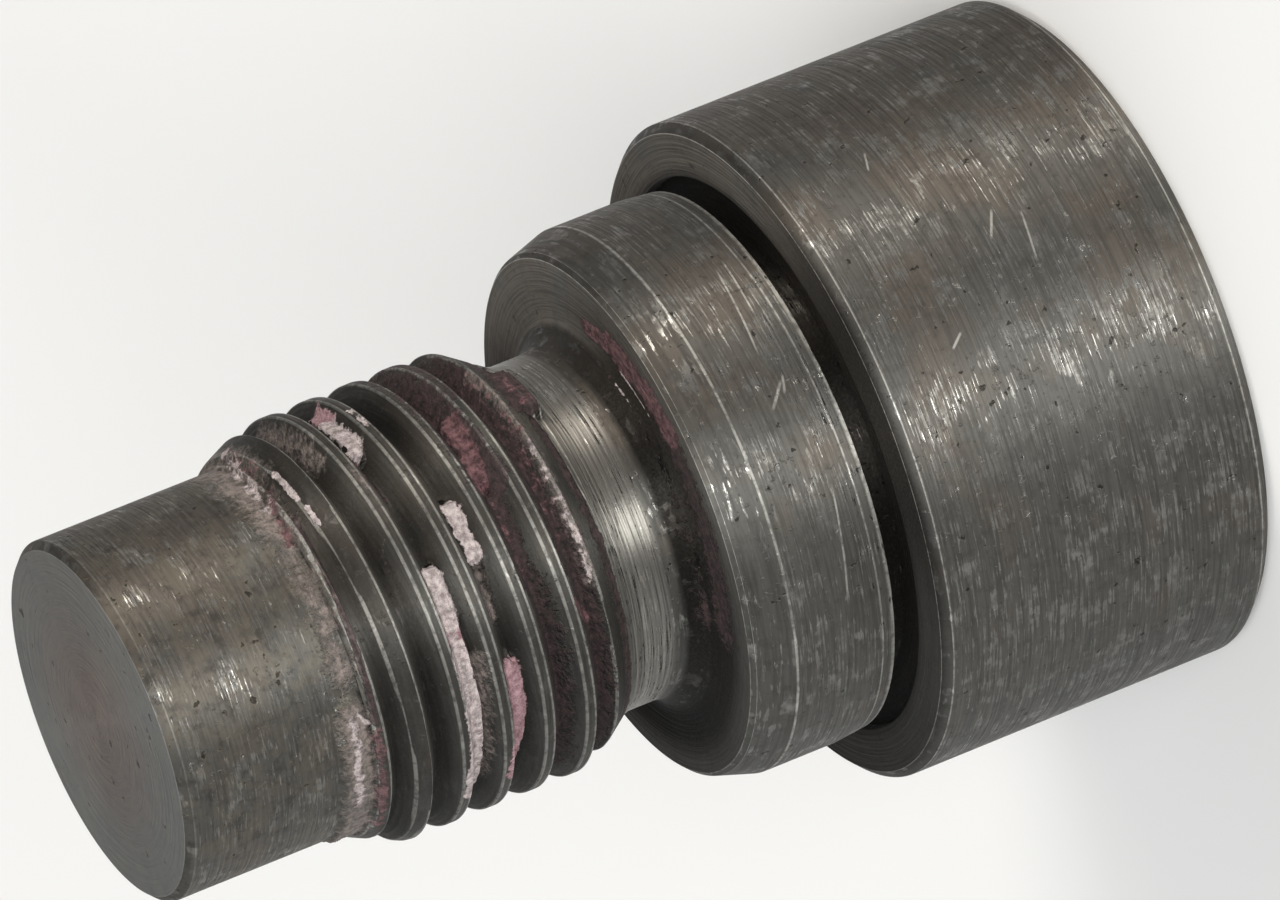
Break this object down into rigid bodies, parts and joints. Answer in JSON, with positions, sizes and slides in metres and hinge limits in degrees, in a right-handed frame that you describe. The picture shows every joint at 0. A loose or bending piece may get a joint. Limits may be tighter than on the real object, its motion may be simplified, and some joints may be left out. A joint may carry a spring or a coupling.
{
  "type": "threaded plug",
  "caption": "Turned steel plug with a round socket head, an undercut, a seating collar, a relief neck, a fine right-hand thread and a plain pilot nose.",
  "frame": {"origin": "centre of the head's end face, which the plug stands on", "axes": "+Z along the axis of the plug, from the head to the nose; the flats of the key socket face +Y and -Y"},
  "size_m": [0.019, 0.019, 0.0309],
  "materials": {
    "dark_steel": "turned, blackened and oiled, worn bright on the edges"
  },
  "bodies": {
    "root": {"plug_body": "dark_steel"}
  },
  "joints": []
}
